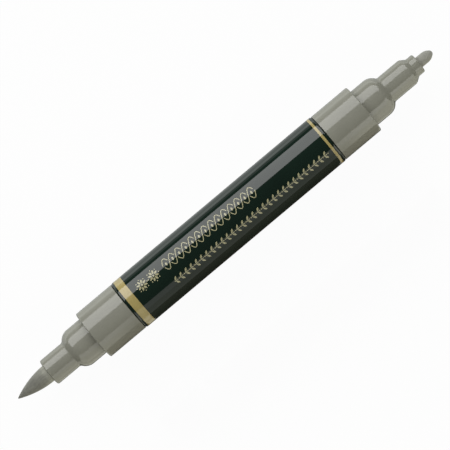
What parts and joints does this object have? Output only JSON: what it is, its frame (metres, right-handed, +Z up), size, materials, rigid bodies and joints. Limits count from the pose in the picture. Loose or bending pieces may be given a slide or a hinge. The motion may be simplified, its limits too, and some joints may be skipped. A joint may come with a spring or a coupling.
{
  "type": "double-ended felt tip marker",
  "caption": "Round marker pen, uncapped, with a soft brush nib at one end and a firm bullet nib at the other, fed by a fibre reservoir in the barrel.",
  "frame": {"origin": "middle of the barrel's length, on its axis", "axes": "+X along the pen's axis towards the bullet nib, the brush nib points to -X; +Z up as the pen lies on a table, with its printed side up"},
  "size_m": [0.1255, 0.013, 0.013],
  "materials": {
    "barrel_green": "very dark green lacquer, high gloss",
    "gold_foil": "pale gold hot-stamped foil, satin",
    "section_grey": "warm grey moulded plastic, smooth satin gloss",
    "brush_fibre": "matte ink-stained bonded fibre",
    "bullet_fibre": "matte fine-grained sintered fibre",
    "reservoir_fibre": "matte bundled fibre soaked with grey ink",
    "clear_film": "thin clear film"
  },
  "bodies": {
    "marker_body": {"barrel": "barrel_green", "wide_gold_band": "gold_foil", "thin_gold_band": "gold_foil", "brush_section": "section_grey", "bullet_section": "section_grey", "ink_reservoir": "reservoir_fibre", "reservoir_wrap": "clear_film"},
    "brush_nib_body": {"brush_nib": "brush_fibre"},
    "bullet_nib_body": {"bullet_nib": "bullet_fibre"}
  },
  "joints": [
    {"name": "brush_nib_pull", "type": "slide", "parent": "marker_body", "child": "brush_nib_body", "axis": [-1, 0, 0], "range_m": [0, 0.022]},
    {"name": "bullet_nib_pull", "type": "slide", "parent": "marker_body", "child": "bullet_nib_body", "axis": [1, 0, 0], "range_m": [0, 0.026]}
  ]
}
